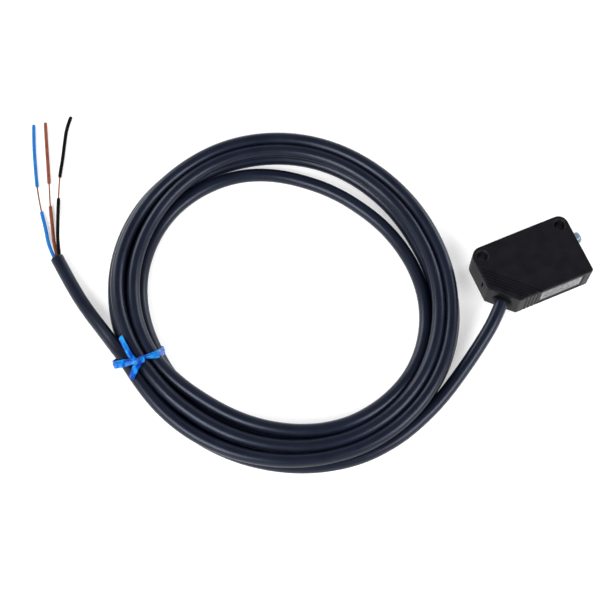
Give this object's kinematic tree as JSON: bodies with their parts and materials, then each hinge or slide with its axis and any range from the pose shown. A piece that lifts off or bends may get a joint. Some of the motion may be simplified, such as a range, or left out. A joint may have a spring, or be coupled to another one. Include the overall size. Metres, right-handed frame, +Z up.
{
  "type": "photoelectric sensor",
  "caption": "Miniature flat photoelectric sensor with lens face, indicator dome, rotary adjusters and a coiled three-core lead.",
  "frame": {"origin": "on the broad face the sensor lies on, midway between the two mounting holes", "axes": "+X along the case towards the indicator end, +Y towards the lens face, +Z up out of the other broad face"},
  "size_m": [0.1486, 0.1397, 0.0138],
  "materials": {
    "housing": "matte, fine spark-eroded texture",
    "label": "satin printed film",
    "window": "smoke-tinted, glossy",
    "dome": "translucent blue-grey, glossy",
    "dark_insert": "matte",
    "knob": "semi-gloss",
    "selector": "semi-gloss",
    "seal": "soft matte",
    "board": "solder mask",
    "chip": "moulded epoxy",
    "ceramic": "fired ceramic",
    "shield_metal": "tinned",
    "clamp_metal": "plain",
    "led_green": "clear moulded",
    "led_orange": "clear moulded",
    "optic_device": "moulded",
    "sheath": "semi-matte PVC",
    "core_blue": "semi-gloss PVC",
    "core_brown": "semi-gloss PVC",
    "core_black": "semi-gloss PVC",
    "copper": "stranded copper",
    "tie": "glossy film over wire"
  },
  "bodies": {
    "sensor": {"case_body": "housing", "side_cover": "housing", "rear_label": "label", "lens_window": "window", "window_gasket": "seal", "optical_holder": "dark_insert", "emitter_led": "optic_device", "receiver_photodiode": "optic_device", "receiver_shield": "shield_metal", "end_panel": "dark_insert", "indicator_dome": "dome", "sensitivity_adjuster_body": "dark_insert", "sensitivity_seal_ring": "seal", "mode_adjuster_body": "dark_insert", "mode_seal_ring": "seal", "main_board": "board", "indicator_board": "board", "indicator_led_green": "led_green", "indicator_led_orange": "led_orange", "amplifier_chip": "chip", "output_transistor": "chip", "voltage_regulator": "chip", "capacitors": "ceramic", "resistors": "chip", "cable_bushing": "seal", "cable_clamp": "clamp_metal", "cable_inner_end": "sheath", "inner_wire_brown": "core_brown", "inner_wire_black": "core_black", "inner_wire_blue": "core_blue", "cable_lead": "sheath", "cable_coil": "sheath", "cable_tail": "sheath", "cable_tie": "tie", "core_blue_conductor": "copper", "core_blue_insulation_root": "core_blue", "core_blue_insulation_tip": "core_blue", "core_brown_conductor": "copper", "core_brown_insulation_root": "core_brown", "core_brown_insulation_tip": "core_brown", "core_black_conductor": "copper", "core_black_insulation_root": "core_black", "core_black_insulation_tip": "core_black"},
    "sensitivity_adjuster": {"sensitivity_knob": "knob"},
    "mode_selector": {"mode_knob": "selector"}
  },
  "joints": [
    {"name": "sensitivity_turn", "type": "hinge", "parent": "sensor", "child": "sensitivity_adjuster", "pos_m": [0.013, -0.0086, 0.0054], "axis": [1, 0, 0], "range_deg": [-120, 120]},
    {"name": "mode_turn", "type": "hinge", "parent": "sensor", "child": "mode_selector", "pos_m": [0.013, -0.0128, 0.0054], "axis": [1, 0, 0], "range_deg": [0, 90]}
  ]
}
